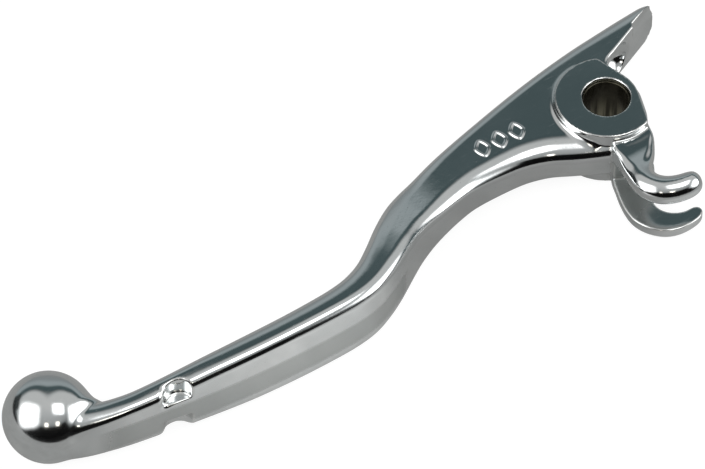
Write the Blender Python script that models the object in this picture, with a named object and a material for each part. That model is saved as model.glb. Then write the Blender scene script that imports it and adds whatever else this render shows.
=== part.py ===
"""Clutch lever: one-piece polished forging with a ball end, a break-away notch,
a drilled pivot hub, a tail flap and a two-finger hook, plus the plain pivot
sleeve that sits in the hub bore. Metres, +Z up, origin on the pivot axis at the
middle of the hub thickness; the arm runs towards -X."""

import bmesh
import bpy
import math
from mathutils import Vector

MM = 0.001

# hub and pivot
HUB_THICK = 15.3          # over the two boss faces
WEB_THICK = 10.7          # lever web round the hub
BOSS_R = 11.3             # boss discs, both faces
HUB_R = 11.0              # hub wall between the discs
ROOT_R = 13.2             # hub wall behind the hook slot
BORE_R = 5.30             # bore in the forging
SLEEVE_R = 5.22           # outside of the sleeve
SLEEVE_BORE_R = 4.85      # inside of the sleeve
SLEEVE_LEN = 13.6
BORE_CHAMFER = 0.15
FLAT_A = (0.966, 0.260, 7.33)    # clearance flats on the hub: normal x, y, distance
FLAT_B = (0.936, -0.352, 7.15)

# ball end
BALL_X = -145.1
BALL_R = 9.9

# break-away notch: two half-round pockets with a web between them
NOTCH_X = -121.4
NOTCH_Y = -14.7
NOTCH_R = 3.35
NOTCH_WEB = 5.6

# round bowl in the front face of the flap
BOWL = (12.36, 10.06, 0.3, 4.7)

# raised marks on the web
PIP_R = 1.15
PIP_RISE = 0.35
PIP_SPOTS = ((-29.7, 4.75), (-25.2, 4.7), (-20.7, 4.6))

# arm stations: front edge x, y, back edge x, y, height, front corner, back corner across, back corner up
ARM = (
    (-145.6, -9.1, -144.2, 2.0, 14.0, 5.0, 4.0, 4.0),
    (-141.4, -10.7, -140.2, 0.2, 14.2, 3.8, 3.4, 4.0),
    (-137.2, -11.6, -136.4, -3.9, 13.8, 2.8, 3.0, 4.6),
    (-132.2, -12.4, -131.4, -6.1, 13.8, 2.3, 3.2, 5.0),
    (-126.0, -13.3, -125.3, -7.1, 14.5, 2.3, 3.4, 5.0),
    (-116.0, -14.8, -115.4, -8.0, 15.7, 2.3, 3.8, 5.0),
    (-104.0, -16.1, -103.6, -8.7, 17.0, 2.3, 4.4, 5.0),
    (-92.0, -16.8, -91.9, -9.2, 17.6, 2.3, 4.6, 5.0),
    (-82.0, -17.0, -82.6, -9.1, 17.7, 2.3, 4.6, 5.0),
    (-76.0, -16.8, -77.8, -8.7, 17.7, 2.4, 4.6, 5.0),
    (-71.2, -16.1, -74.2, -7.9, 17.7, 2.6, 4.6, 5.0),
    (-66.8, -14.4, -70.4, -6.3, 17.7, 2.8, 4.6, 5.0),
    (-62.6, -12.3, -66.3, -3.6, 17.4, 3.0, 4.6, 4.8),
    (-58.3, -9.8, -61.5, -0.05, 16.6, 3.2, 4.4, 4.4),
    (-54.0, -7.5, -56.6, 3.1, 14.9, 3.3, 4.2, 4.0),
    (-50.1, -5.9, -52.1, 5.1, 13.4, 3.3, 3.8, 3.6),
    (-46.0, -4.6, -47.6, 6.6, 12.1, 3.3, 3.4, 3.2),
    (-40.3, -3.2, -41.4, 8.7, 11.2, 3.3, 3.0, 3.0),
    (-34.6, -2.5, -35.4, 10.35, 10.8, 3.3, 2.8, 3.0),
    (-24.5, -3.1, -25.4, 12.65, 10.7, 3.3, 2.8, 3.0),
    (-18.8, -4.5, -18.9, 14.1, 10.7, 3.3, 2.8, 3.0),
    (-15.7, -6.0, -15.0, 14.9, 10.7, 3.3, 2.8, 3.0),
    (-12.7, -7.6, -11.4, 15.5, 10.7, 3.3, 2.8, 3.0),
    (-9.3, -9.3, -7.8, 16.1, 10.7, 3.2, 2.8, 3.0),
    (-6.4, -10.8, -4.6, 16.6, 10.7, 3.0, 2.8, 3.0),
    (-4.2, -11.6, -2.0, 17.0, 10.7, 2.2, 2.8, 3.0),
)

# tail flap: side edge x, y, back edge x, y, underside z, top z, side corner, back corner
TAIL = (
    (-4.0, 2.0, -5.0, 16.5, -5.35, 5.35, 0.7, 2.8),
    (4.4, 8.7, 2.6, 17.6, -5.35, 5.35, 0.7, 2.7),
    (10.3, 11.2, 9.2, 18.2, -5.35, 5.35, 0.7, 2.6),
    (16.4, 13.8, 15.4, 18.7, -5.3, 5.35, 0.7, 2.2),
    (20.9, 15.7, 20.2, 18.95, -4.8, 5.3, 0.7, 1.5),
    (23.8, 16.9, 23.2, 19.05, -3.8, 5.2, 0.6, 0.9),
    (25.4, 17.6, 24.9, 19.0, -2.2, 4.9, 0.5, 0.6),
    (26.1, 18.0, 25.9, 18.7, 0.2, 3.9, 0.3, 0.3),
)

# hook fingers: outer edge x, y, inner edge x, y, underside z, top z, corner across, corner up
UPPER = (
    (-4.6, -7.0, 4.4, -8.0, 1.25, 6.0, 1.5, 1.5),
    (-6.2, -13.5, 3.4, -13.0, 1.25, 5.9, 2.2, 1.7),
    (-7.4, -17.3, 0.9, -17.0, 1.25, 6.1, 2.8, 2.1),
    (-8.3, -21.4, -2.0, -20.4, 1.25, 6.9, 3.0, 2.7),
    (-7.9, -25.2, -1.9, -23.2, 1.25, 7.4, 2.9, 3.0),
    (-5.6, -28.4, -0.2, -24.7, 1.25, 7.5, 3.1, 3.0),
    (-2.2, -30.2, 1.2, -25.3, 1.25, 7.5, 2.9, 3.0),
    (1.1, -30.9, 2.8, -25.8, 1.4, 7.4, 2.6, 2.9),
    (3.3, -30.5, 4.0, -26.2, 1.9, 7.0, 2.1, 2.4),
    (4.8, -29.6, 5.0, -27.1, 3.0, 6.0, 1.2, 1.4),
)
LOWER = (
    (-4.6, -7.0, 4.4, -8.0, -7.6, -4.4, 1.5, 0.5),
    (-6.4, -12.0, 3.4, -13.0, -7.6, -4.4, 1.5, 0.5),
    (-8.3, -17.2, 0.4, -17.6, -7.6, -4.4, 1.5, 0.5),
    (-9.2, -21.7, -2.8, -21.3, -7.6, -4.4, 1.5, 0.5),
    (-8.7, -25.7, -2.9, -23.9, -7.6, -4.4, 1.5, 0.5),
    (-6.8, -28.8, -1.9, -26.0, -7.6, -4.4, 1.4, 0.5),
    (-3.9, -30.8, -0.4, -27.2, -7.6, -4.4, 1.2, 0.5),
    (-0.2, -31.45, 1.2, -27.9, -7.6, -4.4, 1.1, 0.5),
    (2.7, -31.3, 3.2, -28.1, -7.5, -4.4, 1.0, 0.5),
    (4.5, -30.5, 4.6, -28.4, -7.2, -4.5, 0.7, 0.5),
)

FINE = 2                  # extra rings between neighbouring stations
CORNER = 4                # facets in each rounded corner
CAP = 3                   # facets in a back corner seen from the side


def material(name, colour, metallic, roughness):
    mat = bpy.data.materials.new(name)
    mat.use_nodes = True
    b = mat.node_tree.nodes["Principled BSDF"]
    b.inputs["Base Color"].default_value = (*colour, 1.0)
    b.inputs["Metallic"].default_value = metallic
    b.inputs["Roughness"].default_value = roughness
    return mat


def new_collection(name):
    coll = bpy.data.collections.new(name)
    bpy.context.scene.collection.children.link(coll)
    return coll


def put(name, bm, coll, mat=None, smooth=True):
    bmesh.ops.recalc_face_normals(bm, faces=bm.faces[:])
    mesh = bpy.data.meshes.new(name)
    bm.to_mesh(mesh)
    bm.free()
    obj = bpy.data.objects.new(name, mesh)
    coll.objects.link(obj)
    if mat:
        mesh.materials.append(mat)
    for p in mesh.polygons:
        p.use_smooth = smooth
    return obj


def smooth_rows(rows, fine):
    """Catmull-Rom rows between the stations."""
    out = []
    n = len(rows)
    for i in range(n - 1):
        p0 = rows[max(i - 1, 0)]
        p1, p2 = rows[i], rows[i + 1]
        p3 = rows[min(i + 2, n - 1)]
        for k in range(fine):
            t = k / fine
            row = []
            for a, b, c, d in zip(p0, p1, p2, p3):
                v = 0.5 * (2 * b + (c - a) * t + (2 * a - 5 * b + 4 * c - d) * t * t + (3 * b - a - 3 * c + d) * t ** 3)
                row.append(v)
            out.append(tuple(row))
    out.append(tuple(rows[-1]))
    return out


def section(fx, fy, bx, by, zlo, zhi, rf, rfz, rb, rbz, steps):
    """Rounded section standing on the line from the front edge to the back edge."""
    w = math.hypot(bx - fx, by - fy)
    ux, uy = (bx - fx) / w, (by - fy) / w
    h = zhi - zlo
    lim = 0.97 * w / (rf + rb) if rf + rb > 0.97 * w else 1.0
    rf, rb = rf * lim, rb * lim
    rfz, rbz = min(rfz, 0.485 * h), min(rbz, 0.485 * h)
    pts = []
    for cx, cz, ra, rz, start in (
        (rf, zhi - rfz, rf, rfz, 180), (w - rb, zhi - rbz, rb, rbz, 90),
        (w - rb, zlo + rbz, rb, rbz, 0), (rf, zlo + rfz, rf, rfz, 270),
    ):
        for k in range(steps + 1):
            a = math.radians(start - 90.0 * k / steps)
            n = cx + ra * math.cos(a)
            z = cz + rz * math.sin(a)
            pts.append(((fx + ux * n) * MM, (fy + uy * n) * MM, z * MM))
    return pts


def loft(name, sections, coll):
    bm = bmesh.new()
    rings = [[bm.verts.new(p) for p in s] for s in sections]
    n = len(rings[0])
    for r0, r1 in zip(rings[:-1], rings[1:]):
        for i in range(n):
            j = (i + 1) % n
            bm.faces.new((r0[i], r0[j], r1[j], r1[i]))
    bm.faces.new(list(reversed(rings[0])))
    bm.faces.new(rings[-1])
    return put(name, bm, coll)


def cylinder(name, r, z0, z1, coll, segments=48, x=0.0, y=0.0, r_top=None):
    bm = bmesh.new()
    bmesh.ops.create_cone(bm, cap_ends=True, cap_tris=False, segments=segments,
                          radius1=r * MM, radius2=(r if r_top is None else r_top) * MM, depth=(z1 - z0) * MM)
    for v in bm.verts:
        v.co += Vector((x * MM, y * MM, 0.5 * (z0 + z1) * MM))
    return put(name, bm, coll)


def boolean(obj, other, operation, coll=None):
    mod = obj.modifiers.new(other.name, "BOOLEAN")
    mod.operation = operation
    mod.solver = "EXACT"
    mod.object = other
    deps = bpy.context.evaluated_depsgraph_get()
    mesh = bpy.data.meshes.new_from_object(obj.evaluated_get(deps))
    obj.modifiers.clear()
    old = obj.data
    obj.data = mesh
    bpy.data.meshes.remove(old)
    bpy.data.objects.remove(other, do_unlink=True)


def outline_solid(name, pts, z0, z1, coll):
    bm = bmesh.new()
    low = [bm.verts.new((x * MM, y * MM, z0 * MM)) for x, y in pts]
    face = bm.faces.new(low)
    ext = bmesh.ops.extrude_face_region(bm, geom=[face])
    for v in [g for g in ext["geom"] if isinstance(g, bmesh.types.BMVert)]:
        v.co.z = z1 * MM
    return put(name, bm, coll)


def hub_outline(radius, grow=0.0, root=0.0):
    """Circle trimmed by the two clearance flats; behind the hook slot the wall steps out to the root radius."""
    pts = []
    n = 72
    for k in range(n):
        a = 2 * math.pi * (k + 0.5) / n
        deg = math.degrees(a)
        r = radius
        if root:
            s = min(1.0, max(0.0, min((deg - 236.0) / 10.0, (292.0 - deg) / 12.0)))
            r = radius + (root - radius) * s
        x, y = math.cos(a), math.sin(a)
        for nx, ny, d in (FLAT_A, FLAT_B):
            q = nx * x + ny * y
            if q > 1e-6:
                r = min(r, (d + grow) / q)
        pts.append((r * x, r * y))
    return pts


def build_lever(coll, work, mat):
    arm = []
    for fx, fy, bx, by, h, rf, rb, rbz in smooth_rows(ARM, FINE):
        arm.append(section(fx, fy, bx, by, -h / 2, h / 2, rf, rf, rb, rbz, CORNER))
    lever = loft("lever_forging", arm, coll)

    bm = bmesh.new()
    bmesh.ops.create_uvsphere(bm, u_segments=32, v_segments=20, radius=BALL_R * MM)
    for v in bm.verts:
        v.co += Vector((BALL_X * MM, 0.0, 0.0))
    boolean(lever, put("ball", bm, work), "UNION")

    tail = []
    for fx, fy, bx, by, z0, z1, rf, rb in smooth_rows(TAIL, FINE):
        tail.append(section(fx, fy, bx, by, z0, z1, rf, rf, rb, rb, CORNER))
    boolean(lever, loft("tail", tail, work), "UNION")

    half = HUB_THICK / 2
    web = WEB_THICK / 2
    boolean(lever, outline_solid("hub_wall", hub_outline(HUB_R, 0.9, ROOT_R), -web, web, work), "UNION")

    for rows, name in ((UPPER, "upper_finger"), (LOWER, "lower_finger")):
        finger = []
        for fx, fy, bx, by, z0, z1, rc, rz in smooth_rows(rows, FINE):
            finger.append(section(fx, fy, bx, by, z0, z1, rc, rz, rc, rz, CORNER))
        boolean(lever, loft(name, finger, work), "UNION")

    boolean(lever, outline_solid("boss_top", hub_outline(BOSS_R), 3.2, half, work), "UNION")
    boolean(lever, outline_solid("boss_bottom", hub_outline(BOSS_R), -half, -4.3, work), "UNION")

    boolean(lever, cylinder("bore", BORE_R, -half - 2, half + 2, work, 64), "DIFFERENCE")
    for s in (1, -1):
        zf = s * half
        deep = BORE_CHAMFER + 0.1
        lo, hi = (zf - deep, zf + 1.0) if s > 0 else (zf - 1.0, zf + deep)
        if s > 0:
            cone = cylinder("chamfer_t", BORE_R - 0.1, lo, hi, work, 64, r_top=BORE_R + BORE_CHAMFER + 1.0)
        else:
            cone = cylinder("chamfer_b", BORE_R + BORE_CHAMFER + 1.0, lo, hi, work, 64, r_top=BORE_R - 0.1)
        boolean(lever, cone, "DIFFERENCE")

    half_web = NOTCH_WEB / 2
    boolean(lever, cylinder("notch_top", NOTCH_R, half_web, 12.0, work, 32, NOTCH_X, NOTCH_Y), "DIFFERENCE")
    boolean(lever, cylinder("notch_bottom", NOTCH_R, -12.0, -half_web, work, 32, NOTCH_X, NOTCH_Y), "DIFFERENCE")

    bm = bmesh.new()
    bmesh.ops.create_uvsphere(bm, u_segments=32, v_segments=20, radius=BOWL[3] * MM)
    for v in bm.verts:
        v.co += Vector((BOWL[0] * MM, BOWL[1] * MM, BOWL[2] * MM))
    boolean(lever, put("bowl", bm, work), "DIFFERENCE")

    for i, (x, y) in enumerate(PIP_SPOTS):
        pip = cylinder(f"pip_{i}", PIP_R, web - 1.0, web + PIP_RISE, work, 20, x, y, r_top=PIP_R)
        boolean(lever, pip, "UNION")

    bm = bmesh.new()
    bm.from_mesh(lever.data)
    bmesh.ops.remove_doubles(bm, verts=bm.verts[:], dist=0.00002)
    bmesh.ops.dissolve_degenerate(bm, dist=0.00001, edges=bm.edges[:])
    bm.to_mesh(lever.data)
    bm.free()
    lever.data.materials.clear()
    lever.data.materials.append(mat)
    return lever


def build_sleeve(coll, work, mat):
    z = SLEEVE_LEN / 2
    sleeve = cylinder("pivot_sleeve", SLEEVE_R, -z, z, coll, 64)
    boolean(sleeve, cylinder("sleeve_bore", SLEEVE_BORE_R, -z - 1, z + 1, work, 64), "DIFFERENCE")
    sleeve.data.materials.clear()
    sleeve.data.materials.append(mat)
    return sleeve


def main():
    for obj in list(bpy.data.objects):
        bpy.data.objects.remove(obj, do_unlink=True)
    coll = new_collection("clutch_lever")
    work = new_collection("clutch_lever_cutters")
    chrome = material("bright_chrome", (0.72, 0.74, 0.75), 1.0, 0.06)
    bronze = material("oiled_bronze", (0.25, 0.20, 0.12), 1.0, 0.32)
    build_lever(coll, work, chrome)
    build_sleeve(coll, work, bronze)
    bpy.data.collections.remove(work)


main()
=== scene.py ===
"""Looks of the clutch lever: a polished, bright plated forging and its bronze pivot sleeve on a pale studio table."""
import math

import bmesh
import bpy
import numpy as np
from mathutils import Matrix, Vector


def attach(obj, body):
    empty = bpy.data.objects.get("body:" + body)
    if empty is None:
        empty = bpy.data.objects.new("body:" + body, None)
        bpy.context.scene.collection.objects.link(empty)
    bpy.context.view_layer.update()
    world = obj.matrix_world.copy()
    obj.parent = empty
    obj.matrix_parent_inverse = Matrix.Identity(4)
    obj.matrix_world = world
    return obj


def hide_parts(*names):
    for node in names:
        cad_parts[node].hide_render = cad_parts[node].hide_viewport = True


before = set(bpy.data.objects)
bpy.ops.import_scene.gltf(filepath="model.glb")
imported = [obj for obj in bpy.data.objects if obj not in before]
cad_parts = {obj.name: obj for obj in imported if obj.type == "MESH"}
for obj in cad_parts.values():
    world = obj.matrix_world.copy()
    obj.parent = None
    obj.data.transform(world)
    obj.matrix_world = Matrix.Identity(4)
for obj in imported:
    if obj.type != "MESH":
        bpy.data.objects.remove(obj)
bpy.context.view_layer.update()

MM = 0.001

# GEOMETRY-BEGIN
# ---------------------------------------------------------------- sizes, mm
HALF = 7.65              # half of the hub over its boss faces
WEB = 5.6                # half of the web
BOSS_R = 11.3
HUB_R = 10.35
ROOT_R = 13.2
BORE_R = 5.3
FLAT_A = (0.966, 0.260, 7.33)
FLAT_B = (0.936, -0.352, 7.15)
BALL_X, BALL_R = -145.1, 9.9
NOTCH = (-121.4, -14.7, 3.35, 2.8)
BOWL = (12.4, 9.95, 0.1, 5.15)       # round bowl in the front face of the flap, beside the hub

# front edge: x, y, half height, corner
FRONT = (
    (-151.0, -6.6, 6.0, 4.2),
    (-146.0, -8.9, 6.8, 4.2),
    (-141.4, -10.35, 7.0, 3.4),
    (-137.0, -11.45, 6.85, 2.7),
    (-132.2, -12.4, 6.95, 2.3),
    (-126.0, -13.35, 7.25, 2.3),
    (-116.0, -14.85, 7.85, 2.4),
    (-104.0, -16.15, 8.5, 2.5),
    (-92.0, -16.85, 8.8, 2.6),
    (-82.0, -17.05, 8.85, 2.7),
    (-76.0, -16.85, 8.85, 2.8),
    (-71.2, -16.05, 8.85, 2.9),
    (-66.8, -14.4, 8.8, 3.0),
    (-62.6, -12.3, 8.7, 3.1),
    (-58.3, -9.8, 8.25, 3.2),
    (-54.0, -7.5, 7.4, 3.3),
    (-50.1, -5.9, 6.65, 3.3),
    (-46.0, -4.6, 6.1, 3.3),
    (-40.3, -3.2, 5.75, 3.4),
    (-34.6, -2.55, 5.62, 3.7),
    (-24.5, -3.2, 5.6, 4.3),
    (-18.8, -4.75, 5.6, 4.6),
    (-15.7, -6.35, 5.6, 4.7),
    (-12.7, -8.05, 5.6, 4.7),
    (-9.3, -9.8, 5.6, 4.6),
    (-6.2, -11.3, 5.6, 4.2),
    (-3.9, -12.0, 5.6, 3.0),
    (-2.0, -9.0, 5.6, 1.8),
    (-0.4, -2.0, 5.6, 1.0),
    (2.0, 5.1, 5.6, 0.8),
    (5.4, 9.1, 5.6, 0.7),
    (10.3, 11.2, 5.6, 0.6),
    (16.4, 13.8, 5.6, 0.5),
    (20.9, 15.7, 5.6, 0.5),
    (25.6, 17.7, 5.6, 0.5),
    (30.0, 19.6, 5.6, 0.5),
)
# back edge: x, y, half height, corner across, corner up
BACK = (
    (-150.0, 6.0, 6.0, 5.0, 4.4),
    (-144.5, 3.4, 6.4, 6.2, 4.6),
    (-140.4, -0.2, 6.7, 5.6, 4.8),
    (-136.6, -4.1, 6.8, 4.3, 5.0),
    (-131.4, -6.1, 6.9, 3.6, 5.0),
    (-125.3, -7.1, 7.25, 3.5, 5.0),
    (-115.4, -8.0, 7.85, 3.9, 5.0),
    (-103.6, -8.75, 8.5, 4.4, 5.0),
    (-91.9, -9.2, 8.8, 4.6, 5.0),
    (-82.6, -9.1, 8.85, 4.6, 5.0),
    (-77.8, -8.7, 8.85, 4.6, 5.0),
    (-74.2, -7.9, 8.85, 4.6, 5.0),
    (-70.4, -6.3, 8.85, 4.6, 5.0),
    (-66.3, -3.6, 8.75, 4.6, 4.8),
    (-61.5, -0.05, 8.35, 4.4, 4.4),
    (-56.6, 3.1, 7.55, 4.2, 4.0),
    (-52.1, 5.1, 6.75, 3.8, 3.6),
    (-47.6, 6.6, 6.1, 3.4, 3.2),
    (-41.4, 8.7, 5.8, 3.1, 3.0),
    (-35.4, 10.35, 5.65, 2.9, 2.9),
    (-25.4, 12.65, 5.6, 2.8, 2.8),
    (-15.3, 14.8, 5.6, 2.8, 2.8),
    (-6.0, 16.4, 5.6, 2.8, 2.7),
    (2.6, 17.6, 5.6, 3.0, 2.7),
    (9.2, 18.2, 5.6, 3.2, 2.6),
    (15.4, 18.7, 5.6, 3.4, 2.5),
    (20.2, 18.95, 5.6, 3.2, 2.4),
    (25.4, 19.1, 5.6, 2.4, 2.2),
    (30.0, 19.2, 5.6, 2.4, 2.2),
)
TIP = (26.6, 18.2, 0.975, 0.222)      # a point of the flap's end and the way it faces
# hook fingers: closed outlines x, y; then height of the top by y
UPPER = (
    (3.6, -9.0), (3.5, -12.6), (1.3, -16.4), (-1.3, -19.4), (-2.1, -21.9), (-1.0, -23.8), (0.9, -24.85),
    (2.9, -25.4), (4.5, -26.2), (5.1, -28.0), (4.2, -30.0), (2.2, -30.75), (-0.4, -30.6), (-3.4, -29.7),
    (-6.1, -27.9), (-7.9, -25.0), (-8.4, -21.6), (-7.6, -17.5), (-6.7, -14.0), (-6.1, -11.2), (-4.0, -8.2), (0.0, -7.6),
)
LOWER = (
    (4.0, -9.0), (3.8, -12.9), (1.2, -16.9), (-2.0, -20.4), (-2.9, -22.9), (-2.3, -25.2), (-0.7, -26.9),
    (1.4, -27.85), (3.5, -28.0), (4.6, -28.5), (4.8, -29.8), (3.5, -30.95), (0.8, -31.45), (-2.5, -31.2),
    (-5.5, -29.8), (-7.9, -27.1), (-9.15, -23.9), (-9.15, -20.8), (-8.4, -17.4), (-7.3, -14.2), (-6.2, -11.2), (-4.0, -8.2), (0.0, -7.6),
)
UPPER_TOP = ((-5.0, 6.0), (-12.0, 5.95), (-15.0, 5.85), (-18.0, 6.2), (-21.5, 6.95), (-25.0, 7.4), (-28.0, 7.55), (-32.0, 7.5))
UPPER_ROUND = ((-5.0, 0.7, 0.7), (-12.0, 0.8, 0.8), (-15.5, 1.9, 1.6), (-19.0, 3.0, 2.6), (-23.0, 3.25, 3.05), (-32.0, 3.2, 3.1))
UPPER_FLOOR = 1.18
LOWER_TOP, LOWER_FLOOR = -4.4, -7.55

STEP = 0.32
X0, X1, Y0, Y1 = -156.6, 28.2, -33.3, 21.3


# ---------------------------------------------------------------- curves
def catmull(rows, n, closed=False):
    rows = np.asarray(rows, float)
    m = len(rows)
    out = []
    last = m if closed else m - 1
    for i in range(last):
        if closed:
            p0, p1, p2, p3 = rows[(i - 1) % m], rows[i], rows[(i + 1) % m], rows[(i + 2) % m]
        else:
            p0, p1, p2, p3 = rows[max(i - 1, 0)], rows[i], rows[i + 1], rows[min(i + 2, m - 1)]
        t = (np.arange(n) / n)[:, None]
        out.append(0.5 * (2 * p1 + (p2 - p0) * t + (2 * p0 - 5 * p1 + 4 * p2 - p3) * t**2 + (3 * p1 - p0 - 3 * p2 + p3) * t**3))
    if not closed:
        out.append(rows[-1:])
    return np.vstack(out)


def even(rows, gap, closed=False):
    """Resample at an even gap along x, y."""
    if closed:
        rows = np.vstack([rows, rows[:1]])
    s = np.concatenate([[0], np.cumsum(np.hypot(*np.diff(rows[:, :2], axis=0).T))])
    n = max(8, int(round(s[-1] / gap)))
    q = np.linspace(0, s[-1], n + 1)
    out = np.stack([np.interp(q, s, rows[:, k]) for k in range(rows.shape[1])], 1)
    return out[:-1] if closed else out


def relax(rows, passes, closed=False):
    """Fair a sampled curve; the shrinkage of each pass is given back by an outward one."""
    r = rows.copy()
    for k in range(passes):
        for w in (0.5, -0.51):
            if closed:
                mid = 0.5 * (np.roll(r, 1, 0) + np.roll(r, -1, 0))
                r = r + w * (mid - r)
            else:
                mid = 0.5 * (r[:-2] + r[2:])
                r[1:-1] += w * (mid - r[1:-1])
    return r


def near(curve, px, py, closed=False):
    """Signed distance to a curve (left of its direction is positive) and its other columns at the nearest point."""
    a = curve[:, :2]
    b = np.roll(a, -1, 0) if closed else a[1:]
    at0 = curve[:, 2:]
    at1 = np.roll(at0, -1, 0) if closed else at0[1:]
    n = len(b)
    d = b - a[:n]
    dd = (d**2).sum(1)
    dist = np.empty(len(px))
    attr = np.empty((len(px), at0.shape[1]))
    for c in range(0, len(px), 6000):
        x, y = px[c:c + 6000], py[c:c + 6000]
        d2 = (x[:, None] - a[None, :, 0])**2 + (y[:, None] - a[None, :, 1])**2
        k = d2.argmin(1)
        best = np.full(len(x), 1e18)
        sg = np.zeros(len(x))
        at = np.zeros((len(x), at0.shape[1]))
        for off in (-1, 0):
            j = (k + off) % n if closed else np.clip(k + off, 0, n - 1)
            ax, ay, dx, dy = a[j, 0], a[j, 1], d[j, 0], d[j, 1]
            t = ((x - ax) * dx + (y - ay) * dy) / dd[j]
            if not closed:
                lo = np.where(j == 0, -1e9, 0.0)
                hi = np.where(j == n - 1, 1e9, 1.0)
            else:
                lo, hi = 0.0, 1.0
            t = np.clip(t, lo, hi)
            qx, qy = x - ax - t * dx, y - ay - t * dy
            e = qx * qx + qy * qy
            upd = e < best
            best = np.where(upd, e, best)
            s = dx * (y - ay) - dy * (x - ax)
            sg = np.where(upd, s, sg)
            tc = np.clip(t, 0, 1)[:, None]
            at = np.where(upd[:, None], at0[j] * (1 - tc) + (at1[j]) * tc, at)
        dist[c:c + 6000] = np.sqrt(best) * np.where(sg >= 0, 1, -1)
        attr[c:c + 6000] = at
    return dist, attr


def smin(a, b, k):
    h = np.maximum(k - np.abs(a - b), 0) / k
    return np.minimum(a, b) - h * h * k * 0.25


def smax(a, b, k):
    return -smin(-a, -b, k)


def step(lo, hi, x):
    t = np.clip((x - lo) / (hi - lo), 0, 1)
    return t * t * (3 - 2 * t)


def table(rows, x, col=1):
    r = np.asarray(rows, float)
    r = r[np.argsort(r[:, 0])]
    fine = catmull(r, 8)
    return np.interp(x, fine[:, 0], fine[:, col])


def corner(a, b, ra, rb, p=2.15):
    """Below zero inside the corner where a and b are depths under two faces; rounded by ra across and rb up."""
    u = np.maximum(ra - a, 0) / ra
    v = np.maximum(rb - b, 0) / rb
    s = np.minimum(ra, rb)
    g = ((u**p + v**p)**(1 / p) - 1) * s
    return np.where((u <= 0) & (v <= 0), -np.minimum(np.minimum(a, b), 50.0), g)


# ---------------------------------------------------------------- plan fields
def plan_fields(px, py):
    front = relax(even(catmull(FRONT, 14), 0.5), 60)
    back = relax(even(catmull(BACK, 14), 0.5), 60)
    upper = relax(even(catmull(UPPER, 10, True), 0.45, True), 12, True)
    lower = relax(even(catmull(LOWER, 10, True), 0.45, True), 12, True)
    d_f, at_f = near(front, px, py)
    d_b, at_b = near(back, px, py)
    d_b = -d_b
    w = np.clip(d_b, 0.05, None) / (np.clip(d_f, 0.05, None) + np.clip(d_b, 0.05, None))
    zt = at_f[:, 0] * w + at_b[:, 0] * (1 - w)
    r = np.hypot(px, py)
    ang = np.degrees(np.arctan2(py, px)) % 360
    s = step(0, 1, np.minimum((ang - 239.0) / 4.0, (292.0 - ang) / 14.0))
    hub_r = HUB_R + (ROOT_R - HUB_R) * s
    fa = FLAT_A[2] - FLAT_A[0] * px - FLAT_A[1] * py
    fb = FLAT_B[2] - FLAT_B[0] * px - FLAT_B[1] * py
    d_h = smin(smin(hub_r - r, fa + 0.9, 1.6), fb + 0.9, 1.6)
    k_t = 1.6 - 1.2 * step(221.0, 231.0, ang) - 0.7 * step(95.0, 70.0, ang)
    d_boss = smin(smin(fa, fb, 1.8), BOSS_R - r, 0.7)
    a_f = smax(d_f, d_h, 1.8 + 2.6 * step(3.0, 7.0, px) * step(2.0, 6.0, py))
    hub_w = step(-0.6, 1.2, d_h - d_f)
    r_f = at_f[:, 1] * (1 - hub_w) + 0.9 * hub_w
    d_u = -near(upper, px, py, True)[0]
    d_l = -near(lower, px, py, True)[0]
    tip = (TIP[0] - px) * TIP[2] + (TIP[1] - py) * TIP[3]
    d_b = smin(d_b, tip + 0.1, 4.8)
    return {"a_f": a_f, "r_f": r_f, "d_b": d_b, "r_b": at_b[:, 1], "r_bz": at_b[:, 2], "zt": zt, "d_boss": d_boss,
            "d_u": d_u, "d_l": d_l, "k_t": k_t, "nick": 0.7 * step(17.5, 17.95, px), "tip": tip, "r": r, "x": px, "y": py,
            "u_top": table(UPPER_TOP, py), "u_rn": table(UPPER_ROUND, py), "u_rz": table(UPPER_ROUND, py, 2)}


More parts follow.
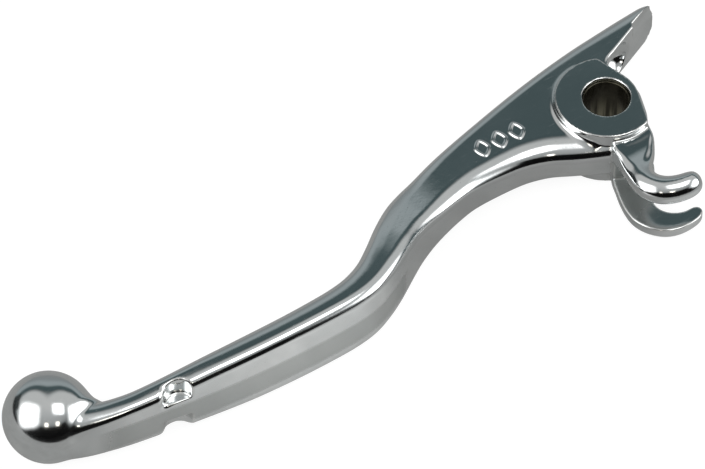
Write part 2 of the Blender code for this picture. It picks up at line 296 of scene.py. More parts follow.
def solid(q, z):
    """The lever's surface is where this is zero; q holds the plan fields, z the height in mm."""
    zt = q["zt"]
    top_f = q["a_f"] - q["nick"] * step(0.5, 4.0, z)
    across = q["r_f"] * (1 + 0.2 * step(-52.0, -42.0, q["x"]) * step(4.0, 0.0, q["x"]))
    sink = 0.65 * step(-110.0, -130.0, q["x"]) + 0.32 * step(-131.0, -143.0, q["x"])
    f = np.maximum(corner(top_f, zt - sink - z, across, q["r_f"]), corner(q["a_f"], z + zt + 0.35 * sink, q["r_f"], q["r_f"]))
    f = np.maximum(f, corner(q["d_b"], zt - sink - z, q["r_b"], q["r_bz"]))
    f = np.maximum(f, corner(q["d_b"], z + zt + 0.35 * sink, q["r_b"], q["r_bz"]))
    f = np.maximum(f, np.maximum(corner(q["tip"], zt - z, 2.8, 2.8), corner(q["tip"], z + zt, 6.0, 7.2)))
    f = np.maximum(f, -144.0 - 3.0 - q["x"])
    ball = np.sqrt((q["x"] - BALL_X)**2 + q["y"]**2 + z**2) - BALL_R
    f = smin(f, ball, 0.4 + 0.6 * step(-148.5, -138.0, q["x"]) + 3.2 * step(-7.2, -4.5, q["y"]) * step(-146.0, -139.5, q["x"]))
    top = np.maximum(corner(q["d_boss"], HALF - z, 0.3, 0.3), corner(q["d_boss"], z - 3.2, 0.25, 0.25))
    low = np.maximum(corner(q["d_boss"], HALF + z, 0.3, 0.3), corner(q["d_boss"], -4.3 - z, 0.25, 0.25))
    f = smin(f, top, q["k_t"])
    f = smin(f, low, 0.6)
    up = np.maximum(corner(q["d_u"], q["u_top"] - z, q["u_rn"], q["u_rz"], 1.9), corner(q["d_u"], z - UPPER_FLOOR, q["u_rn"], q["u_rz"], 1.9))
    f = smin(f, up, 0.75)
    lo = np.maximum(corner(q["d_l"], LOWER_TOP - z, 0.35, 0.35), corner(q["d_l"], z - LOWER_FLOOR, 1.5, 1.4))
    f = smin(f, lo, 0.9)
    f = smax(f, BORE_R - q["r"], 0.3)
    f = smax(f, (BORE_R + 0.1 - q["r"] - (HALF - np.abs(z))) * 0.7071, 0.1)
    bowl = np.sqrt((q["x"] - BOWL[0])**2 + (q["y"] - BOWL[1])**2 + (z - BOWL[2])**2) - BOWL[3]
    f = smax(f, -bowl, 0.45)
    rr = np.hypot(q["x"] - NOTCH[0], q["y"] - NOTCH[1])
    lip = 0.45 + 0.9 * step(0.0, 3.0, NOTCH[0] - q["x"])
    pocket = corner(NOTCH[2] - rr, np.abs(z) - NOTCH[3], 0.8, 0.7)
    f = smax(f, -pocket, lip)
    return f


KEYS = ("a_f", "r_f", "d_b", "r_b", "r_bz", "zt", "d_boss", "d_u", "d_l", "tip", "u_top", "u_rn", "u_rz", "k_t", "nick")


def build_surface():
    gx = np.arange(X0, X1, STEP)
    gy = np.arange(Y0, Y1, STEP)
    nx, ny = len(gx), len(gy)
    mx, my = np.meshgrid(gx, gy, indexing="ij")
    q = plan_fields(mx.ravel(), my.ravel())
    grids = np.stack([q[k].reshape(nx, ny) for k in KEYS], -1)

    ix = []
    i = 0
    while i < nx:
        ix.append(i)
        x = gx[i]
        if x > -16 or -126.5 < x < -116.5:
            i += 1
        elif x < -131 or x > -66:
            i += 2
        else:
            i += 3
    ix = np.array(ix)
    gz = np.arange(-32, 33) * 0.32 + 0.011
    sx = gx[ix]
    qs = {k: grids[ix][:, :, j][:, :, None] for j, k in enumerate(KEYS)}
    qs["x"] = sx[:, None, None]
    qs["y"] = gy[None, :, None]
    qs["r"] = np.hypot(qs["x"], qs["y"])
    f = solid(qs, gz[None, None, :])

    verts, quads = surface_nets(f, sx, gy, gz)

    def sample(p):
        u = (p[:, 0] - X0) / STEP
        v = (p[:, 1] - Y0) / STEP
        iu = np.clip(np.floor(u).astype(int), 1, nx - 3)
        iv = np.clip(np.floor(v).astype(int), 1, ny - 3)
        wu, wv = cubic(u - iu), cubic(v - iv)
        out = np.zeros((len(p), len(KEYS)))
        for a in range(4):
            for b in range(4):
                out += (wu[:, a] * wv[:, b])[:, None] * grids[iu + a - 1, iv + b - 1]
        d = {k: out[:, j] for j, k in enumerate(KEYS)}
        d["x"], d["y"] = p[:, 0], p[:, 1]
        d["r"] = np.hypot(p[:, 0], p[:, 1])
        return d

    def grad(p, e):
        g = np.empty_like(p)
        for ax in range(2):
            o = np.zeros(3)
            o[ax] = e
            g[:, ax] = (solid(sample(p + o), p[:, 2]) - solid(sample(p - o), p[:, 2])) / (2 * e)
        s = sample(p)
        g[:, 2] = (solid(s, p[:, 2] + e) - solid(s, p[:, 2] - e)) / (2 * e)
        return g, solid(s, p[:, 2])

    edges = np.vstack([quads[:, [0, 1]], quads[:, [1, 2]], quads[:, [2, 3]], quads[:, [3, 0]]])
    for it in range(4):
        g, val = grad(verts, 0.03)
        gg = np.maximum((g**2).sum(1), 0.04)
        mv = -val[:, None] * g / gg[:, None]
        ln = np.linalg.norm(mv, axis=1, keepdims=True)
        verts = verts + mv * np.minimum(1.0, 0.2 / np.maximum(ln, 1e-9))
        if it < 3:
            acc = np.zeros_like(verts)
            cnt = np.zeros(len(verts))
            for a, b in ((0, 1), (1, 0)):
                for c in range(3):
                    acc[:, c] += np.bincount(edges[:, a], verts[edges[:, b], c], len(verts))
                cnt += np.bincount(edges[:, a], minlength=len(verts))
            n = g / np.maximum(np.linalg.norm(g, axis=1, keepdims=True), 1e-9)
            dlt = acc / np.maximum(cnt, 1)[:, None] - verts
            dlt -= n * (dlt * n).sum(1, keepdims=True)
            verts = verts + 0.45 * dlt
    g, val = grad(verts, 0.05)
    n = g / np.maximum(np.linalg.norm(g, axis=1, keepdims=True), 1e-9)
    return verts, quads, n, val


def cubic(t):
    t2, t3 = t * t, t * t * t
    return np.stack([(-t + 2 * t2 - t3) / 2, (2 - 5 * t2 + 3 * t3) / 2, (t + 4 * t2 - 3 * t3) / 2, (-t2 + t3) / 2], 1)


def surface_nets(f, gx, gy, gz):
    nx, ny, nz = f.shape
    inside = f < 0
    cells = np.zeros((nx - 1, ny - 1, nz - 1), int)
    for dx in (0, 1):
        for dy in (0, 1):
            for dz in (0, 1):
                cells += inside[dx:nx - 1 + dx, dy:ny - 1 + dy, dz:nz - 1 + dz]
    act = (cells > 0) & (cells < 8)
    idx = -np.ones(cells.shape, int)
    ci, cj, ck = np.nonzero(act)
    idx[ci, cj, ck] = np.arange(len(ci))
    pos = np.zeros((len(ci), 3))
    cnt = np.zeros(len(ci))
    ax = (gx, gy, gz)
    corners = [(a, b, c) for a in (0, 1) for b in (0, 1) for c in (0, 1)]
    for a in corners:
        for k in range(3):
            if a[k]:
                continue
            b = list(a)
            b[k] = 1
            fa = f[ci + a[0], cj + a[1], ck + a[2]]
            fb = f[ci + b[0], cj + b[1], ck + b[2]]
            m = (fa < 0) != (fb < 0)
            t = np.where(m, fa / np.where(m, fa - fb, 1.0), 0)
            p = np.stack([gx[ci + a[0]], gy[cj + a[1]], gz[ck + a[2]]], 1).astype(float)
            o = (ci, cj, ck)[k]
            p[:, k] += t * (ax[k][o + 1] - ax[k][o])
            pos += np.where(m[:, None], p, 0)
            cnt += m
    pos /= cnt[:, None]
    quads = []
    for k in range(3):
        sl0 = [slice(None)] * 3
        sl1 = [slice(None)] * 3
        sl0[k] = slice(0, -1)
        sl1[k] = slice(1, None)
        a, b = inside[tuple(sl0)], inside[tuple(sl1)]
        u, v = (k + 1) % 3, (k + 2) % 3
        diff = a != b
        i = list(np.nonzero(diff))
        ok = (i[u] > 0) & (i[v] > 0) & (i[u] < f.shape[u] - 1) & (i[v] < f.shape[v] - 1)
        i = [c[ok] for c in i]
        flip = ~a[tuple(i)]

        def cell(du, dv):
            c = list(i)
            c[u] = c[u] + du
            c[v] = c[v] + dv
            return idx[tuple(c)]
        qd = np.stack([cell(-1, -1), cell(0, -1), cell(0, 0), cell(-1, 0)], 1)
        qd[flip] = qd[flip][:, ::-1]
        quads.append(qd)
    return pos, np.vstack(quads)
# GEOMETRY-END

# ---------------------------------------------------------------- studio settings
# softboxes: name, direction, direction of the long edge, metres away, width, height, radiance, colour
SOFTBOXES = (
    ("softbox_left", (-0.836, 0.116, 0.535), (0.003, -0.700, 0.714), 1.10, 1.38, 1.40, 2.8, (1.0, 1.0, 1.0)),
    ("softbox_over", (0.172, -0.444, 0.879), (0.882, -0.327, -0.338), 1.15, 0.76, 0.70, 2.8, (1.0, 1.0, 1.0)),
    ("softbox_right", (0.688, -0.647, 0.328), (0.607, 0.266, -0.749), 1.00, 0.90, 0.88, 2.8, (1.0, 1.0, 1.0)),
    ("lamp_left", (-0.559, -0.639, 0.528), (0.781, -0.62, 0.077), 1.0, 0.19, 0.21, 3.0, (1.0, 0.92, 0.80)),
    ("lamp_right", (-0.149, -0.841, 0.521), (0.908, -0.325, -0.264), 1.0, 0.20, 0.21, 3.0, (1.0, 0.94, 0.84)),
)
# the hall behind the table, by height plus a share of the sideways part: linear colour
WALL = (
    (0.0, (0.27, 0.28, 0.28)),
    (0.34, (0.25, 0.275, 0.28)),
    (0.53, (0.33, 0.365, 0.375)),
    (0.65, (0.32, 0.36, 0.37)),
    (0.705, (0.19, 0.225, 0.23)),
    (0.745, (0.066, 0.094, 0.099)),
    (0.865, (0.060, 0.084, 0.089)),
    (0.91, (0.17, 0.185, 0.185)),
    (0.955, (0.40, 0.41, 0.41)),
    (1.0, (0.54, 0.545, 0.54)),
)
# the pale tent over the front half, by height
TENT = ((0.45, (0.18, 0.19, 0.19)), (0.58, (0.34, 0.35, 0.35)), (0.75, (0.42, 0.43, 0.43)), (0.90, (0.50, 0.505, 0.505)), (1.0, (0.56, 0.56, 0.555)))
# darker panels: degrees right of straight back, degrees up, half width and half height as slopes, linear colour
DARK = (
    (-68.0, 6.0, 0.28, 0.24, (0.03, 0.035, 0.035)),
)
FRONT_EDGE = Vector((-0.2, -0.98, 0.0)).normalized()     # level, square to the table's front edge
FLOOR_PALE = ((0.92, 0.92, 0.915), (0.90, 0.90, 0.90))
FLOOR_GLOW = 0.91
FLOOR_GREY = (0.405, 0.405, 0.398)
# painted pools of light and painted shade on the table, seen only as the lever mirrors it: x, y and reach in mm,
# strength
POOLS = ((6.0, -42.0, 26.0, 0.42), (-68.0, -35.0, 30.0, 0.66), (-94.0, -34.0, 32.0, 0.72), (-122.0, -28.0, 26.0, 0.38), (28.0, 4.0, 22.0, 0.06))
SHADES = ((-30.0, -16.0, 30.0, 0.16), (-4.0, -22.0, 22.0, 0.12))
FLOOR_EDGE = (0.078, 0.087)


def mesh_object(name, verts, faces, normals=None):
    """An object from points in mm and equal-sided faces, shaded smooth."""
    faces = np.asarray(faces)
    k = faces.shape[1]
    me = bpy.data.meshes.new(name)
    me.vertices.add(len(verts))
    me.vertices.foreach_set("co", (np.asarray(verts, float) * MM).ravel())
    me.loops.add(faces.size)
    me.loops.foreach_set("vertex_index", faces.ravel().astype(np.int32))
    me.polygons.add(len(faces))
    me.polygons.foreach_set("loop_start", (np.arange(len(faces)) * k).astype(np.int32))
    me.update(calc_edges=True)
    me.validate()
    me.polygons.foreach_set("use_smooth", np.ones(len(me.polygons), bool))
    if normals is not None and len(me.vertices) == len(normals):
        me.normals_split_custom_set_from_vertices([tuple(n) for n in np.asarray(normals, float)])
    me.update()
    ob = bpy.data.objects.new(name, me)
    bpy.context.scene.collection.objects.link(ob)
    return ob


def store(ob, name, values):
    at = ob.data.attributes.new(name, "FLOAT", "POINT")
    at.data.foreach_set("value", np.asarray(values, np.float32))


def sharpness(verts, quads, n):
    """Curvature along the surface, per mm: above zero on outer edges, below zero in fillets."""
    e = np.unique(np.sort(np.vstack([quads[:, [0, 1]], quads[:, [1, 2]], quads[:, [2, 3]], quads[:, [3, 0]]]), 1), axis=0)
    d = verts[e[:, 1]] - verts[e[:, 0]]
    k = ((n[e[:, 1]] - n[e[:, 0]]) * d).sum(1) / np.maximum((d**2).sum(1), 1e-6)
    c = np.zeros(len(verts))
    w = np.zeros(len(verts))
    for a in (0, 1):
        c += np.bincount(e[:, a], k, len(verts))
        w += np.bincount(e[:, a], minlength=len(verts))
    c /= np.maximum(w, 1)
    for _ in range(2):
        s = c * w
        m = w.copy()
        for a, b in ((0, 1), (1, 0)):
            s += np.bincount(e[:, a], c[e[:, b]], len(verts))
            m += np.bincount(e[:, a], minlength=len(verts))
        c = s / m
    return c


def lathe(profile, sides):
    """A closed profile of (radius, z) turned about Z."""
    p = np.asarray(profile, float)
    m = len(p)
    a = np.arange(sides) * 2 * math.pi / sides
    v = np.stack([np.outer(np.cos(a), p[:, 0]), np.outer(np.sin(a), p[:, 0]), np.outer(np.ones(sides), p[:, 1])], -1).reshape(-1, 3)
    i, j = np.meshgrid(np.arange(sides), np.arange(m), indexing="ij")
    i, j = i.ravel(), j.ravel()
    i2, j2 = (i + 1) % sides, (j + 1) % m
    f = np.stack([i * m + j, i2 * m + j, i2 * m + j2, i * m + j2], 1)
    d = np.roll(p, -1, 0) - p
    if (p[:, 0] * np.roll(p[:, 1], -1) - np.roll(p[:, 0], -1) * p[:, 1]).sum() < 0:
        f = f[:, ::-1]
    return v, f


# ---------------------------------------------------------------- node helpers
class Nodes:
    def __init__(self, name, world=False):
        if world:
            self.owner = bpy.data.worlds.new(name)
            bpy.context.scene.world = self.owner
        else:
            self.owner = bpy.data.materials.new(name)
        self.owner.use_nodes = True
        self.t = self.owner.node_tree
        self.t.nodes.clear()

    def new(self, kind, inputs=None, **props):
        n = self.t.nodes.new(kind)
        for k, v in props.items():
            setattr(n, k, v)
        for k, v in (inputs or {}).items():
            self.put(n.inputs[k], v)
        return n

    def put(self, socket, v):
        if isinstance(v, bpy.types.NodeSocket):
            self.t.links.new(v, socket)
        elif isinstance(v, bpy.types.Node):
            self.t.links.new(v.outputs[0], socket)
        else:
            socket.default_value = v

    def math(self, op, a, b=0.0, c=0.0, clamp=False):
        n = self.new("ShaderNodeMath", operation=op, use_clamp=clamp)
        for s, v in zip(n.inputs, (a, b, c)):
            self.put(s, v)
        return n.outputs[0]

    def vmath(self, op, a, b=None, scale=None):
        n = self.new("ShaderNodeVectorMath", operation=op)
        self.put(n.inputs[0], a)
        if b is not None:
            self.put(n.inputs[1], b)
        if scale is not None:
            self.put(n.inputs["Scale"], scale)
        return n.outputs["Value"] if op in ("DOT_PRODUCT", "LENGTH", "DISTANCE") else n.outputs[0]

    def ramp(self, v, lo, hi, a=0.0, b=1.0, kind="SMOOTHSTEP"):
        n = self.new("ShaderNodeMapRange", interpolation_type=kind)
        for s, x in zip(("Value", "From Min", "From Max", "To Min", "To Max"), (v, lo, hi, a, b)):
            self.put(n.inputs[s], x)
        return n.outputs[0]

    def mix(self, fac, a, b, blend="MIX"):
        n = self.new("ShaderNodeMix", data_type="RGBA", blend_type=blend)
        self.put(n.inputs[0], fac)
        self.put(n.inputs[6], a)
        self.put(n.inputs[7], b)
        return n.outputs[2]

    def noise(self, vec, scale, detail=3.0, rough=0.5, distortion=0.0):
        return self.new("ShaderNodeTexNoise", {"Vector": vec, "Scale": scale, "Detail": detail, "Roughness": rough, "Distortion": distortion}).outputs[0]

    def scaled(self, vec, s, rot=(0, 0, 0)):
        n = self.new("ShaderNodeMapping", {"Vector": vec, "Scale": s, "Rotation": rot})
        return n.outputs[0]


def chrome():
    """Bright plating over a polished forging: faint grain and waves of the casting under it, fine scuffs, softer worn
    edges, a satin slot between the hooks; painted shade darkens the fillets and that slot.
    """
    m = Nodes("bright_plating")
    at = m.new("ShaderNodeTexCoord").outputs["Object"]
    mm = m.vmath("SCALE", at, scale=1000.0)
    edge = m.new("ShaderNodeAttribute", attribute_name="sharpness").outputs["Fac"]
    worn = m.ramp(edge, 0.25, 0.9)
    shaded_fillet = m.ramp(edge, -0.12, -0.5)
    slot_satin_and_shade = m.new("ShaderNodeAttribute", attribute_name="slot_satin_and_shade").outputs["Fac"]
    # under the plating: long waves, fine orange peel, sparse pits
    wave = m.noise(mm, 0.16, 2.0, 0.45)
    peel = m.noise(mm, 1.15, 3.0, 0.55)
    grain = m.noise(mm, 5.2, 2.0, 0.6)
    pits = m.new("ShaderNodeTexVoronoi", {"Vector": mm, "Scale": 0.62, "Randomness": 1.0}, feature="F1").outputs["Distance"]
    pit = m.ramp(pits, 0.10, 0.02)
    # scuffs: two families of fine lines broken up by noise
    lines = []
    for rot, s, seed in ((0.55, 9.0, 3.0), (-0.95, 7.0, 11.0), (1.35, 8.0, 23.0)):
        st = m.scaled(mm, (0.16, s, s), (0.2, 0.1, rot))
        st = m.vmath("ADD", st, (seed, seed, seed))
        ln = m.noise(st, 0.9, 1.0, 0.4)
        brk = m.noise(m.vmath("ADD", mm, (seed, 0, 0)), 0.22, 2.0, 0.5)
        lines.append(m.math("MULTIPLY", m.ramp(ln, 0.70, 0.78), m.ramp(brk, 0.50, 0.62)))
    scuff = m.math("MAXIMUM", m.math("MAXIMUM", lines[0], lines[1]), lines[2])
    b1 = m.new("ShaderNodeBump", {"Strength": 1.0, "Distance": 0.00003, "Height": wave})
    b2 = m.new("ShaderNodeBump", {"Strength": 1.0, "Distance": 0.0000055, "Height": peel, "Normal": b1})
    b3 = m.new("ShaderNodeBump", {"Strength": 1.0, "Distance": 0.0000006, "Height": grain, "Normal": b2})
    b4 = m.new("ShaderNodeBump", {"Strength": 0.6, "Distance": 0.000004, "Height": m.math("ADD", pit, scuff), "Normal": b3}, invert=True)
    haze = m.noise(mm, 0.075, 4.0, 0.6)
    rough = m.ramp(haze, 0.35, 0.68, 0.08, 0.14)
    rough = m.math("ADD", rough, m.math("MULTIPLY", slot_satin_and_shade, 0.24))
    rough = m.math("ADD", rough, m.math("MULTIPLY", worn, 0.05))
    rough = m.math("ADD", rough, m.math("MULTIPLY", scuff, 0.12))
    rough = m.math("ADD", rough, m.math("MULTIPLY", pit, 0.15))
    rough = m.math("ADD", rough, m.math("MULTIPLY", shaded_fillet, 0.06))
    tint = m.mix(m.ramp(haze, 0.3, 0.7), (0.80, 0.815, 0.815, 1), (0.76, 0.785, 0.79, 1))
    # painted shade: the tint is darker in fillets and concave creases
    tint = m.mix(m.math("MULTIPLY", shaded_fillet, 0.35), tint, (0.60, 0.61, 0.59, 1))
    # painted shade: the slot between the hook fingers is tinted darker; it is also rougher there, a satin finish
    tint = m.mix(m.math("MULTIPLY", slot_satin_and_shade, 0.6), tint, (0.42, 0.44, 0.43, 1))
    tint = m.mix(m.math("MULTIPLY", pit, 0.5), tint, (0.45, 0.45, 0.43, 1))
    tint = m.mix(m.math("MULTIPLY", worn, 0.5), tint, (0.86, 0.86, 0.84, 1))
    p = m.new("ShaderNodeBsdfPrincipled", {"Base Color": tint, "Metallic": 1.0, "Roughness": rough, "Normal": b4})
    m.new("ShaderNodeOutputMaterial", {"Surface": p})
    return m.owner


def bronze():
    """Oiled sintered bronze: turned rings, pores, dark oil in streaks, paler rubbed patches, and painted light:
    brighter patches toward the lower end, where light comes up the bore.
    """
    m = Nodes("oiled_bronze_look")
    at = m.new("ShaderNodeTexCoord").outputs["Object"]
    mm = m.vmath("SCALE", at, scale=1000.0)
    xyz = m.new("ShaderNodeSeparateXYZ", {"Vector": mm})
    flat = m.new("ShaderNodeCombineXYZ", {"X": xyz.outputs[0], "Y": xyz.outputs[1], "Z": 0.0})
    rad = m.vmath("LENGTH", flat.outputs[0])
    ring_at = m.new("ShaderNodeCombineXYZ", {"X": m.math("MULTIPLY", rad, 6.0), "Y": 0.0, "Z": m.math("MULTIPLY", xyz.outputs[2], 6.0)})
    rings = m.noise(ring_at, 1.0, 3.0, 0.6)
    pores = m.noise(mm, 4.5, 2.0, 0.5)
    pore = m.ramp(pores, 0.66, 0.74)
    oil = m.noise(m.scaled(mm, (0.5, 0.5, 0.22)), 0.7, 3.0, 0.6, 0.6)
    oily = m.ramp(oil, 0.42, 0.66)
    rub = m.noise(m.scaled(mm, (0.25, 0.25, 0.1)), 1.0, 2.0, 0.5)
    col = m.mix(m.ramp(rings, 0.3, 0.7), (0.055, 0.050, 0.034, 1), (0.095, 0.088, 0.064, 1))
    col = m.mix(m.ramp(rub, 0.5, 0.75, 0.0, 0.6), col, (0.16, 0.152, 0.118, 1))
    col = m.mix(m.math("MULTIPLY", oily, 0.75), col, (0.028, 0.026, 0.018, 1))
    col = m.mix(m.math("MULTIPLY", pore, 0.7), col, (0.05, 0.035, 0.025, 1))
    # painted light: paler patches, strongest toward the lower end of the sleeve, standing in for light coming up the
    # bore from the table
    lit_patch = m.ramp(m.noise(m.scaled(mm, (0.7, 0.7, 0.05)), 1.0, 2.0, 0.5), 0.40, 0.60)
    low = m.ramp(xyz.outputs[2], -5.0, 3.0, 1.0, 0.0)
    col = m.mix(m.math("MULTIPLY", m.math("MULTIPLY", lit_patch, low), 0.9), col, (0.40, 0.375, 0.275, 1))
    rough = m.ramp(rings, 0.2, 0.8, 0.30, 0.46)
    rough = m.math("SUBTRACT", rough, m.math("MULTIPLY", oily, 0.12))
    rough = m.math("ADD", rough, m.math("MULTIPLY", pore, 0.2))
    b1 = m.new("ShaderNodeBump", {"Strength": 0.7, "Distance": 0.00001, "Height": rings})
    b2 = m.new("ShaderNodeBump", {"Strength": 0.7, "Distance": 0.00002, "Height": pore, "Normal": b1}, invert=True)
    p = m.new("ShaderNodeBsdfPrincipled", {"Base Color": col, "Metallic": 0.9, "Roughness": rough, "Normal": b2})
    m.new("ShaderNodeOutputMaterial", {"Surface": p})
    return m.owner


# ---------------------------------------------------------------- the lever
verts, quads, norms, _ = build_surface()
lever = mesh_object("lever_forging_surface", verts, quads, norms)
store(lever, "sharpness", sharpness(verts, quads, norms))
vx, vy, vz = verts.T
# mask of the slot between the hook fingers: a rougher satin finish there, and painted shade darkening its tint
store(lever, "slot_satin_and_shade", step(-10.5, -12.0, vy) * step(-30.0, -19.0, vy) * step(1.9, 0.9, vz) * step(-5.6, -4.7, vz))
PLATING = chrome()
lever.data.materials.append(PLATING)
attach(lever, "lever")
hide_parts("lever_forging")


# ---------------------------------------------------------------- the sleeve
def ring_profile(ro, ri, half, ch_o, ch_i, r):
    """Ring section with chamfers whose corners are broken by a small round."""
    pts = [(ri, -half + ch_i), (ri + ch_i, -half), (ro - ch_o, -half), (ro, -half + ch_o),
           (ro, half - ch_o), (ro - ch_o, half), (ri + ch_i, half), (ri, half - ch_i)]
    out = []
    n = len(pts)
    for i in range(n):
        a, b, c = (np.array(pts[(i + k) % n], float) for k in (-1, 0, 1))
        u, w = (a - b) / np.linalg.norm(a - b), (c - b) / np.linalg.norm(c - b)
        for t in np.linspace(0, 1, 5):
            p0, p1, p2 = b + u * r, b, b + w * r
            out.append((1 - t)**2 * p0 + 2 * t * (1 - t) * p1 + t**2 * p2)
        gap = np.linalg.norm(c - b) - 2 * r
        for s in range(1, int(gap // 1.2) + 1):
            out.append(b + w * (r + gap * s / (int(gap // 1.2) + 1)))
    return out


sv, sf = lathe(ring_profile(5.22, 4.85, 6.8, 0.1, 0.12, 0.04), 160)
sleeve = mesh_object("pivot_sleeve_surface", sv, sf)
sleeve.data.materials.append(bronze())
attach(sleeve, "sleeve")
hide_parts("pivot_sleeve")


# ---------------------------------------------------------------- raised marks
def mark(name, cx, cy, angle, w, h, r, rise, base):
    """A raised lozenge outline that flows out of the face at height base."""
    m = 96
    t = np.arange(m) * 2 * math.pi / m
    p = 1.35
    c, s = np.cos(t), np.sin(t)
    k = (np.abs(c)**p + np.abs(s)**p)**(-1 / p)
    path = np.stack([w / 2 * k * c, h / 2 * k * s], 1)
    path = relax(even(path, 0.1, True), 10, True)
    m = len(path)
    tan = np.roll(path, -1, 0) - np.roll(path, 1, 0)
    tan /= np.linalg.norm(tan, axis=1, keepdims=True)
    out = np.stack([tan[:, 1], -tan[:, 0]], 1)
    prof = [(u, rise * (0.5 + 0.5 * math.cos(math.pi * u / (1.7 * r)))**1.15) for u in np.linspace(-1.7 * r, 1.7 * r, 15)]
    prof = [(-1.7 * r, -0.25)] + [(u, z - 0.012) for u, z in prof] + [(1.7 * r, -0.25)]
    prof = np.array(prof)
    n = len(prof)
    ca, sa = math.cos(angle), math.sin(angle)
    q = path[:, None, :] + out[:, None, :] * prof[None, :, :1]
    x = cx + q[..., 0] * ca - q[..., 1] * sa
    y = cy + q[..., 0] * sa + q[..., 1] * ca
    z = np.broadcast_to(base + prof[None, :, 1], x.shape)
    v = np.stack([x, y, z], -1).reshape(-1, 3)
    i, j = np.meshgrid(np.arange(m), np.arange(n), indexing="ij")
    i, j = i.ravel(), j.ravel()
    i2, j2 = (i + 1) % m, (j + 1) % n
    f = np.stack([i * n + j, i * n + j2, i2 * n + j2, i2 * n + j], 1)
    ob = mesh_object(name, v, f)
    bm = bmesh.new()
    bm.from_mesh(ob.data)
    bmesh.ops.recalc_face_normals(bm, faces=bm.faces)
    bm.to_mesh(ob.data)
    bm.free()
    for field in ("sharpness", "slot_satin_and_shade"):
        store(ob, field, np.zeros(len(ob.data.vertices)))
    ob.data.materials.append(PLATING)
    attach(ob, "lever")
    return ob


for k, (cx, cy) in enumerate(((-29.7, 4.75), (-25.2, 4.7), (-20.7, 4.6))):
    mark("raised_mark_%d" % (k + 1), cx, cy, -0.25, 3.0, 4.3, 0.36, 0.30, WEB)

# ---------------------------------------------------------------- camera
AZ, EL = math.radians(-34.308), math.radians(51.5)
RIGHT = Vector((math.cos(AZ), math.sin(AZ), 0.0))
BACK_DIR = Vector((math.sin(AZ) * math.cos(EL), -math.cos(AZ) * math.cos(EL), math.sin(EL)))
UP = BACK_DIR.cross(RIGHT)
TOWARD = Vector((math.sin(AZ), -math.cos(AZ), 0.0))      # level, from the object to the camera
target = Vector((-0.064015, 0.004540, 0.0))

cam_data = bpy.data.cameras.new("camera")
cam_data.sensor_width = 36.0
cam_data.lens = 6934.8 * 36.0 / 705.0
cam_data.clip_start, cam_data.clip_end = 0.05, 30.0
cam = bpy.data.objects.new("camera", cam_data)
bpy.context.scene.collection.objects.link(cam)
rot = Matrix((RIGHT, UP, BACK_DIR)).transposed().to_4x4()
cam.matrix_world = Matrix.Translation(target + BACK_DIR * 1.5) @ rot
bpy.context.scene.camera = cam


def toward(x, y, z):
    """World direction of a direction given in camera axes: right, up, toward the camera."""
    return (RIGHT * x + UP * y + BACK_DIR * z).normalized()


def sky(az, el):
    """World direction at az degrees to the right of straight away from the camera, el above level."""
    a, e = math.radians(az), math.radians(el)
    return (RIGHT * math.sin(a) - TOWARD * math.cos(a)) * math.cos(e) + Vector((0, 0, math.sin(e)))


# ---------------------------------------------------------------- light
def softbox(name, direction, across, dist, w, h, power, color):
    """A lit panel facing the lever, brightest in the middle and fading over its rim."""
    l = bpy.data.lights.new(name, "AREA")
    l.shape = "RECTANGLE"
    l.size, l.size_y = w, h
    l.energy = power
    l.color = color
    l.use_nodes = True
    t = l.node_tree
    t.nodes.clear()
    out = t.nodes.new("ShaderNodeOutputLight")
    em = t.nodes.new("ShaderNodeEmission")
    t.links.new(em.outputs[0], out.inputs[0])
    uv = t.nodes.new("ShaderNodeNewGeometry").outputs["Parametric"]
    sep = t.nodes.new("ShaderNodeSeparateXYZ")
    t.links.new(uv, sep.inputs[0])
    last = None
    for k in (0, 1):
        d = t.nodes.new("ShaderNodeMath")
        d.operation = "PINGPONG"
        t.links.new(sep.outputs[k], d.inputs[0])
        d.inputs[1].default_value = 0.5
        r = t.nodes.new("ShaderNodeMapRange")
        r.interpolation_type = "SMOOTHSTEP"
        t.links.new(d.outputs[0], r.inputs["Value"])
        r.inputs["From Min"].default_value = 0.0
        r.inputs["From Max"].default_value = 0.34
        r.inputs["To Min"].default_value = 0.02
        r.inputs["To Max"].default_value = 1.0
        if last is None:
            last = r.outputs[0]
        else:
            m = t.nodes.new("ShaderNodeMath")
            m.operation = "MULTIPLY"
            t.links.new(last, m.inputs[0])
            t.links.new(r.outputs[0], m.inputs[1])
            last = m.outputs[0]
    t.links.new(last, em.inputs["Strength"])
    o = bpy.data.objects.new(name, l)
    bpy.context.scene.collection.objects.link(o)
    at = target + direction * dist
    across = (across - direction * across.dot(direction)).normalized()
    turn = Matrix((across, direction.cross(across), direction)).transposed().to_4x4()
    o.matrix_world = Matrix.Translation(at) @ turn
    o.visible_camera = False
    return o


for name, way, across, dist, w, h, rad, tone in SOFTBOXES:
    softbox(name, Vector(way).normalized(), Vector(across), dist, w, h, rad * w * h * math.pi, tone)

# the room: pale to the camera, a darker hall with a black gap in front to everything that mirrors it
w = Nodes("studio", world=True)
dirn = w.new("ShaderNodeTexCoord").outputs["Generated"]
lp = w.new("ShaderNodeLightPath")
zz = w.new("ShaderNodeSeparateXYZ", {"Vector": dirn}).outputs[2]
front = w.vmath("DOT_PRODUCT", dirn, tuple(TOWARD))
side = w.vmath("DOT_PRODUCT", dirn, tuple(RIGHT))


def graded(fac, stops):
    ramp = w.new("ShaderNodeValToRGB", {"Fac": fac})
    while len(ramp.color_ramp.elements) < len(stops):
        ramp.color_ramp.elements.new(0.5)
    for e, (place, c) in zip(ramp.color_ramp.elements, stops):
        e.position = place
        e.color = (*c, 1)
    return ramp.outputs[0]


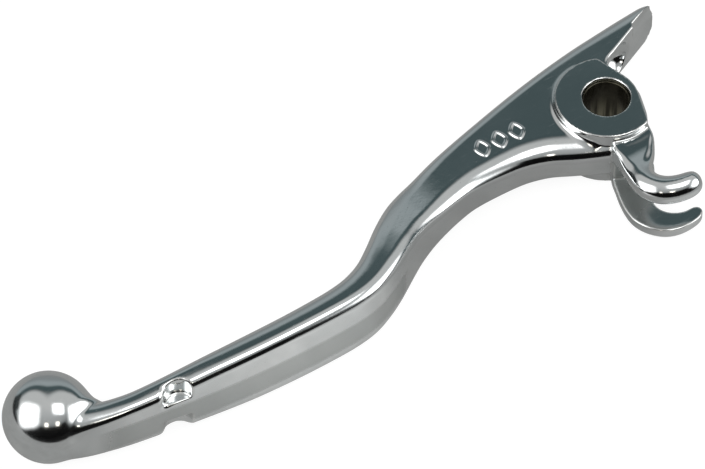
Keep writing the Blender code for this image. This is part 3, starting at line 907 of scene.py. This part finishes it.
bend = w.math("SUBTRACT", w.math("SQRT", w.math("MULTIPLY_ADD", side, side, 0.0625)), 0.25)
roof = w.math("MULTIPLY_ADD", bend, 0.974, zz)
room = w.mix(w.ramp(front, -0.14, 0.10), graded(roof, WALL), graded(zz, TENT))
for az, el, hw, hh, tone in DARK:
    c = sky(az, el)
    across = Vector((-c.y, c.x, 0.0)).normalized()
    over = c.cross(across)
    depth = w.vmath("DOT_PRODUCT", dirn, tuple(c))
    u = w.math("ABSOLUTE", w.math("DIVIDE", w.vmath("DOT_PRODUCT", dirn, tuple(across)), depth))
    v = w.math("ABSOLUTE", w.math("DIVIDE", w.vmath("DOT_PRODUCT", dirn, tuple(over)), depth))
    m = w.math("MULTIPLY", w.ramp(u, hw * 1.2, hw * 0.8), w.ramp(v, hh * 1.2, hh * 0.8))
    room = w.mix(w.math("MULTIPLY", m, w.ramp(depth, 0.05, 0.2)), room, (*tone, 1))
# the unlit gap in front: -133 to 125 degrees round, up to 28 degrees
gap = w.math("MULTIPLY", w.ramp(front, 0.50, 0.62), w.ramp(zz, 0.51, 0.42))
skirting = w.math("MULTIPLY", w.math("MULTIPLY", w.ramp(zz, 0.16, 0.06), w.ramp(side, -0.45, -0.65)), w.ramp(front, -0.55, -0.35))
gap = w.math("MAXIMUM", gap, skirting)
room = w.mix(gap, room, (0.004, 0.004, 0.004, 1))
bg_room = w.new("ShaderNodeBackground", {"Color": room, "Strength": 1.0})
bg_cam = w.new("ShaderNodeBackground", {"Color": (0.97, 0.97, 0.97, 1), "Strength": 1.0})
both = w.new("ShaderNodeMixShader", {0: lp.outputs["Is Camera Ray"], 1: bg_room.outputs[0], 2: bg_cam.outputs[0]})
w.new("ShaderNodeOutputWorld", {"Surface": both.outputs[0]})

# ---------------------------------------------------------------- table
fl = bpy.data.meshes.new("table_top")
bm = bmesh.new()
tilt = (-7.65 + 9.9) / 145.1
S = 3.0
for x, y in ((-S, -S), (S, -S), (S, S), (-S, S)):
    bm.verts.new((x + target.x, y + target.y, -0.00768 + (x + target.x) * tilt))
bm.faces.new(bm.verts)
bm.to_mesh(fl)
bm.free()
floor = bpy.data.objects.new("table_top", fl)
bpy.context.scene.collection.objects.link(floor)
t = Nodes("pale_table")
pos = t.new("ShaderNodeNewGeometry")
lp = t.new("ShaderNodeLightPath")
here = t.vmath("SUBTRACT", pos.outputs["Position"], tuple(target))
ahead = t.vmath("DOT_PRODUCT", here, tuple(FRONT_EDGE))
fleck = t.noise(t.vmath("SCALE", pos.outputs["Position"], scale=1000.0), 0.02, 3.0, 0.5)
pale = t.new("ShaderNodeBsdfDiffuse", {"Color": t.mix(t.ramp(fleck, 0.3, 0.7), (*FLOOR_PALE[0], 1), (*FLOOR_PALE[1], 1)), "Roughness": 0.4})
pale = t.new("ShaderNodeMixShader", {0: 0.82, 1: pale.outputs[0]})
glow = t.new("ShaderNodeEmission", {"Color": (1, 1, 1, 1), "Strength": FLOOR_GLOW})
seen = t.new("ShaderNodeAddShader", {0: pale.outputs[0], 1: glow.outputs[0]})
edge_in = t.ramp(ahead, FLOOR_EDGE[0], FLOOR_EDGE[1])
grey = (*FLOOR_GREY, 1)
# painted pools of light, then painted shade, on the table as the lever mirrors it
for px, py, reach, amount in POOLS:
    far = t.vmath("DISTANCE", pos.outputs["Position"], (px * MM, py * MM, -0.007))
    grey = t.mix(t.ramp(far, reach * MM, 0.2 * reach * MM, 0.0, amount), grey, (0.92, 0.92, 0.91, 1))
for px, py, reach, amount in SHADES:
    far = t.vmath("DISTANCE", pos.outputs["Position"], (px * MM, py * MM, -0.007))
    grey = t.mix(t.ramp(far, reach * MM, 0.2 * reach * MM, 0.0, amount), grey, (0.12, 0.12, 0.12, 1))
mottle = t.noise(t.vmath("SCALE", pos.outputs["Position"], scale=1000.0), 0.11, 2.0, 0.5)
grey = t.mix(t.ramp(mottle, 0.3, 0.7, 0.0, 0.16), grey, (0.12, 0.12, 0.12, 1))
grey = t.mix(edge_in, grey, (0.004, 0.004, 0.004, 1))
lit = t.new("ShaderNodeBsdfPrincipled", {"Base Color": grey, "Roughness": 0.6, "Specular IOR Level": 0.04})
even_grey = t.new("ShaderNodeEmission", {"Color": grey, "Strength": 0.88})
mirrored = t.new("ShaderNodeMixShader", {0: 0.6, 1: lit.outputs[0], 2: even_grey.outputs[0]})
top = t.new("ShaderNodeMixShader", {0: lp.outputs["Is Camera Ray"], 1: mirrored.outputs[0], 2: seen.outputs[0]})
none = t.new("ShaderNodeBsdfTransparent")
both = t.new("ShaderNodeMixShader", {0: pos.outputs["Backfacing"], 1: top.outputs[0], 2: none.outputs[0]})
t.new("ShaderNodeOutputMaterial", {"Surface": both.outputs[0]})
fl.materials.append(t.owner)

bpy.context.scene.view_settings.view_transform = "Standard"
